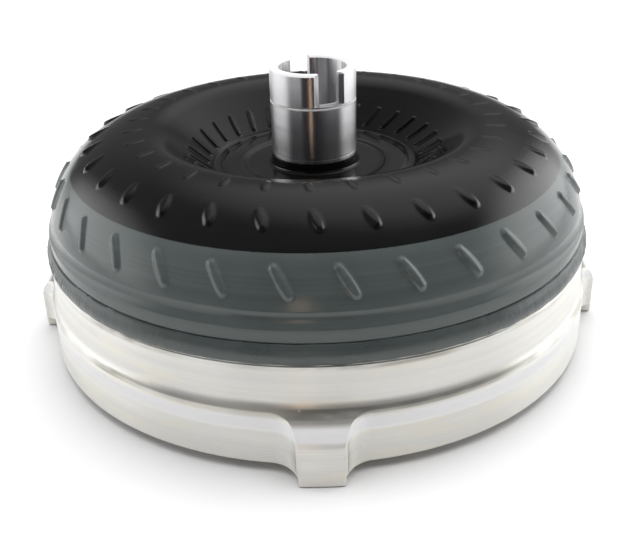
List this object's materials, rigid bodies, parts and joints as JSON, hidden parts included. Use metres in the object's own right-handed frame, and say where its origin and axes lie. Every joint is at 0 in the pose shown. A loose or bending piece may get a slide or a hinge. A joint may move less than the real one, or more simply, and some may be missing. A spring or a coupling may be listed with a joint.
{
  "type": "torque converter",
  "caption": "Lock-up torque converter with a lugged machined front cover, a welded dimpled impeller shell and a slotted pump drive hub.",
  "frame": {"origin": "on the axis, in the plane of the four lug pads", "axes": "+Z along the axis, from the lug pads towards the pump hub; -Y through one lug"},
  "size_m": [0.32, 0.32, 0.1483],
  "materials": {
    "machined_cover": "satin machined",
    "pilot_steel": "ground",
    "painted_weld": "semi-gloss paint over a weld bead",
    "shell_paint": "semi-gloss grey flank and black crown",
    "black_paint": "semi-gloss",
    "hub_steel": "ground and polished",
    "pressed_steel": "bare pressed steel",
    "turned_steel": "turned steel",
    "cast_aluminium": "as cast",
    "bearing_steel": "ground and hardened",
    "cage_steel": "pressed cage",
    "spring_steel": "oil-tempered",
    "thrust_bronze": "sintered bronze",
    "friction_paper": "bonded friction paper",
    "seal_polymer": "filled polymer"
  },
  "bodies": {
    "housing": {"front_cover": "machined_cover", "crank_pilot": "pilot_steel", "closing_weld": "painted_weld", "impeller_shell": "shell_paint", "impeller_hub": "hub_steel", "hub_weld": "black_paint", "impeller_core_ring": "pressed_steel", "impeller_vanes": "pressed_steel", "cover_thrust_washer": "thrust_bronze", "rear_bearing_hub_race": "bearing_steel"},
    "turbine": {"turbine_shell": "pressed_steel", "turbine_hub": "turned_steel", "turbine_rivets": "turned_steel", "turbine_core_ring": "pressed_steel", "turbine_vanes": "pressed_steel", "piston_inner_seal": "seal_polymer", "front_bearing_turbine_race": "bearing_steel", "damper_driven_plate": "pressed_steel"},
    "front_bearing": {"front_bearing_cage": "cage_steel", "front_bearing_needles": "bearing_steel"},
    "stator": {"stator_wheel": "cast_aluminium", "stator_cam_race": "turned_steel", "clutch_rollers": "bearing_steel", "roller_springs": "spring_steel", "stator_front_cap": "cast_aluminium", "stator_rear_cap": "cast_aluminium", "stator_snap_ring": "spring_steel", "front_bearing_stator_race": "bearing_steel", "rear_bearing_stator_race": "bearing_steel"},
    "stator_race": {"stator_inner_race": "turned_steel"},
    "rear_bearing": {"rear_bearing_cage": "cage_steel", "rear_bearing_needles": "bearing_steel"},
    "damper": {"damper_retainer": "pressed_steel", "damper_springs": "spring_steel"},
    "piston": {"clutch_piston": "pressed_steel", "piston_drive_pins": "turned_steel", "friction_lining": "friction_paper"}
  },
  "joints": [
    {"name": "turbine_spin", "type": "hinge", "parent": "housing", "child": "turbine", "pos_m": [0, 0, 0], "axis": [0, 0, 1], "continuous": true},
    {"name": "front_cage_spin", "type": "hinge", "parent": "turbine", "child": "front_bearing", "pos_m": [0, 0, 0], "axis": [0, 0, 1], "continuous": true},
    {"name": "stator_spin", "type": "hinge", "parent": "housing", "child": "stator", "pos_m": [0, 0, 0], "axis": [0, 0, 1], "continuous": true},
    {"name": "rear_cage_spin", "type": "hinge", "parent": "housing", "child": "rear_bearing", "pos_m": [0, 0, 0], "axis": [0, 0, 1], "continuous": true},
    {"name": "stator_freewheel", "type": "hinge", "parent": "stator", "child": "stator_race", "pos_m": [0, 0, 0], "axis": [0, 0, 1], "continuous": true},
    {"name": "damper_twist", "type": "hinge", "parent": "turbine", "child": "damper", "pos_m": [0, 0, 0], "axis": [0, 0, 1], "range_deg": [-8, 8], "stiffness_Nm_per_rad": 60, "deforming": ["damper_springs"]},
    {"name": "piston_apply", "type": "slide", "parent": "damper", "child": "piston", "axis": [0, 0, -1], "range_m": [0, 0.0009]}
  ],
  "couplings": [
    {"joint": "front_cage_spin", "follows": "turbine_spin", "ratio": -0.5},
    {"joint": "rear_cage_spin", "follows": "stator_spin", "ratio": 0.5}
  ]
}
